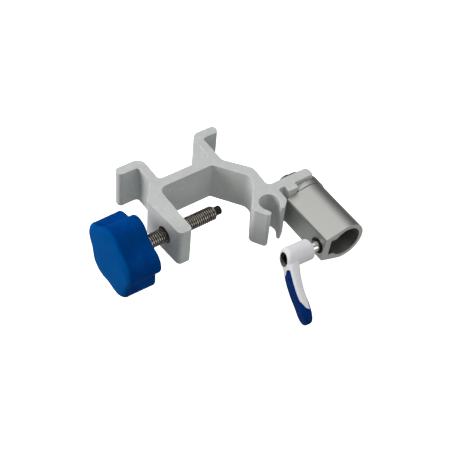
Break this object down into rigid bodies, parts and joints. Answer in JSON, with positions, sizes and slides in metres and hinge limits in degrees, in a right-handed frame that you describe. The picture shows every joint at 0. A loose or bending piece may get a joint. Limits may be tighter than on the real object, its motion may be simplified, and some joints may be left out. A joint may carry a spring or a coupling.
{
  "type": "pole and rail clamp",
  "caption": "Extruded C-shaped clamp with a lobed hand screw, rear hooks and a snap clip, and a side socket for a round bar that is locked by a small lever.",
  "frame": {"origin": "on the clamp's rear face, midway between the two hooks and at half the extrusion's height", "axes": "+X along the hand screw, from the knob towards the V jaw; +Y out of the rear face, away from the jaw; +Z along the extrusion"},
  "size_m": [0.1545, 0.1496, 0.0502],
  "materials": {
    "powder_coat": "light grey, fine satin texture",
    "anodised_aluminium": "natural anodised, fine drawn grain",
    "steel": "oiled, slightly browned",
    "chrome": "polished",
    "blue_plastic": "moulded, satin",
    "grey_plastic": "fine textured moulding",
    "black_plastic": "satin"
  },
  "bodies": {
    "frame": {"clamp_frame": "powder_coat", "socket_tube": "anodised_aluminium", "socket_base": "anodised_aluminium", "rear_spacer": "anodised_aluminium", "socket_core": "steel", "core_pin": "steel", "stud_bush": "steel", "lock_washer": "steel", "rear_bolt": "steel", "backing_washer": "black_plastic", "clamp_pad": "black_plastic"},
    "tip": {"pressure_tip": "black_plastic"},
    "hand_screw": {"spindle": "steel", "knob": "blue_plastic", "knob_insert": "steel", "knob_pin": "steel"},
    "stud": {"clamp_stud": "chrome", "lever_screw": "chrome", "lever_spring": "steel"},
    "lever": {"lever_body": "grey_plastic", "lever_inlay": "blue_plastic", "lever_insert": "steel"}
  },
  "joints": [
    {"name": "screw_feed", "type": "slide", "parent": "frame", "child": "tip", "axis": [1, 0, 0], "range_m": [-0.0256, 0.0151]},
    {"name": "screw_turn", "type": "hinge", "parent": "tip", "child": "hand_screw", "pos_m": [0, -0.0313, 0], "axis": [1, 0, 0], "range_deg": [-6120, 3600]},
    {"name": "lever_turn", "type": "hinge", "parent": "frame", "child": "stud", "pos_m": [0.04457, -0.088, -0.00139], "axis": [0.9962, 0, -0.0872], "range_deg": [-150, 90]},
    {"name": "lever_lift", "type": "slide", "parent": "stud", "child": "lever", "axis": [-0.9962, 0, 0.0872], "range_m": [0, 0.0025], "stiffness_N_per_m": 300, "springref_m": -0.003, "deforming": ["lever_spring"]}
  ],
  "couplings": [
    {"joint": "screw_feed", "follows": "screw_turn", "m_per_rad": 0.00023873}
  ]
}
